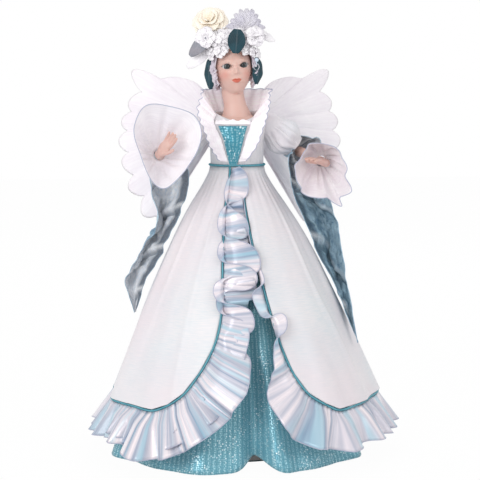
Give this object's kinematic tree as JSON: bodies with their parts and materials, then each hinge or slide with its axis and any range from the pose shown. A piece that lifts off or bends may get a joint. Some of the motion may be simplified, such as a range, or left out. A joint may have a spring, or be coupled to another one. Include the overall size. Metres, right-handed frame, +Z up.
{
  "type": "angel figure",
  "caption": "Standing angel doll with a porcelain head and hands, teal and white layered gown, hanging sleeves, flower headdress and folding plush wings.",
  "frame": {"origin": "middle of the felt face under the stand", "axes": "+Z up, the figure faces -Y, +X is the figure's own left"},
  "size_m": [0.3349, 0.3178, 0.4571],
  "materials": {
    "felt": "wool felt",
    "wood": "plain turned wood",
    "steel": "bright wire and rod",
    "calico": "stuffed cotton",
    "buckram": "stiffened cotton",
    "bisque": "unglazed painted porcelain",
    "eye_glass": "coloured glass",
    "hair": "silver-lilac fibre",
    "satin": "slubbed white silk",
    "sequin": "sequinned teal satin",
    "lame": "crumpled blue and silver lame",
    "organza": "iridescent sheer with a mauve thread edge",
    "cord": "teal piping cord",
    "lace": "pleated white lace",
    "plush": "white-lilac plush",
    "petal": "white silk petals",
    "cream": "cream silk petals",
    "leaf": "dark teal-green silk leaves",
    "pearl": "pearl bead"
  },
  "bodies": {
    "figure": {"base_felt": "felt", "stand_base": "wood", "base_screw": "steel", "stand_post": "steel", "torso": "calico", "skirt_cone": "buckram", "shoulder_head": "bisque", "left_eye": "eye_glass", "right_eye": "eye_glass", "head_pate": "calico", "wig": "hair", "headdress_wreath": "petal", "cream_rose": "cream", "lily_blossom": "petal", "leaf_front": "leaf", "leaf_right_upper": "petal", "leaf_right_lower": "leaf", "leaf_left": "leaf", "petal_right": "petal", "petal_left": "petal", "forehead_florets": "petal", "side_florets": "petal", "pearl_drop": "pearl", "bodice": "satin", "stomacher": "sequin", "lace_edging": "lace", "collar_ruffle": "lace", "waist_cord": "cord", "underskirt": "sequin", "overskirt": "satin", "front_ruffle_right": "organza", "front_ruffle_left": "organza", "hem_ruffle": "organza", "front_piping_right": "cord", "front_piping_left": "cord", "hem_piping": "cord", "wing_bracket": "steel"},
    "right_arm": {"right_puff_sleeve": "satin", "right_upper_arm": "calico", "right_arm_wire": "steel", "right_hanging_sleeve": "lame"},
    "right_forearm": {"right_hand": "bisque", "right_cuff": "organza"},
    "left_arm": {"left_puff_sleeve": "satin", "left_upper_arm": "calico", "left_arm_wire": "steel", "left_hanging_sleeve": "lame"},
    "left_forearm": {"left_hand": "bisque", "left_cuff": "organza"},
    "right_wing_body": {"right_wing": "plush", "right_wing_wire": "steel"},
    "left_wing_body": {"left_wing": "plush", "left_wing_wire": "steel"},
    "hoop": {"hoop_drop": "steel"}
  },
  "joints": [
    {"name": "right_shoulder", "type": "hinge", "parent": "figure", "child": "right_arm", "pos_m": [-0.034, 0.003, 0.333], "axis": [0, 1, 0], "range_deg": [0, 28]},
    {"name": "right_elbow", "type": "hinge", "parent": "right_arm", "child": "right_forearm", "pos_m": [-0.077, 0.011, 0.303], "axis": [-1, 0, 0], "range_deg": [-15, 15]},
    {"name": "left_shoulder", "type": "hinge", "parent": "figure", "child": "left_arm", "pos_m": [0.034, 0.003, 0.335], "axis": [0, -1, 0], "range_deg": [0, 28]},
    {"name": "left_elbow", "type": "hinge", "parent": "left_arm", "child": "left_forearm", "pos_m": [0.066, 0.01, 0.307], "axis": [-0.9089, -0.417, 0], "range_deg": [-15, 20]},
    {"name": "right_wing_fold", "type": "hinge", "parent": "figure", "child": "right_wing_body", "pos_m": [-0.009, 0.0285, 0.333], "axis": [0, 0, -1], "range_deg": [-4, 30]},
    {"name": "left_wing_fold", "type": "hinge", "parent": "figure", "child": "left_wing_body", "pos_m": [0.009, 0.0285, 0.333], "axis": [0, 0, 1], "range_deg": [-4, 30]},
    {"name": "hoop_swing", "type": "hinge", "parent": "figure", "child": "hoop", "pos_m": [0.018, -0.02, 0.3978], "axis": [0, 1, 0], "range_deg": [-14, 14]}
  ]
}
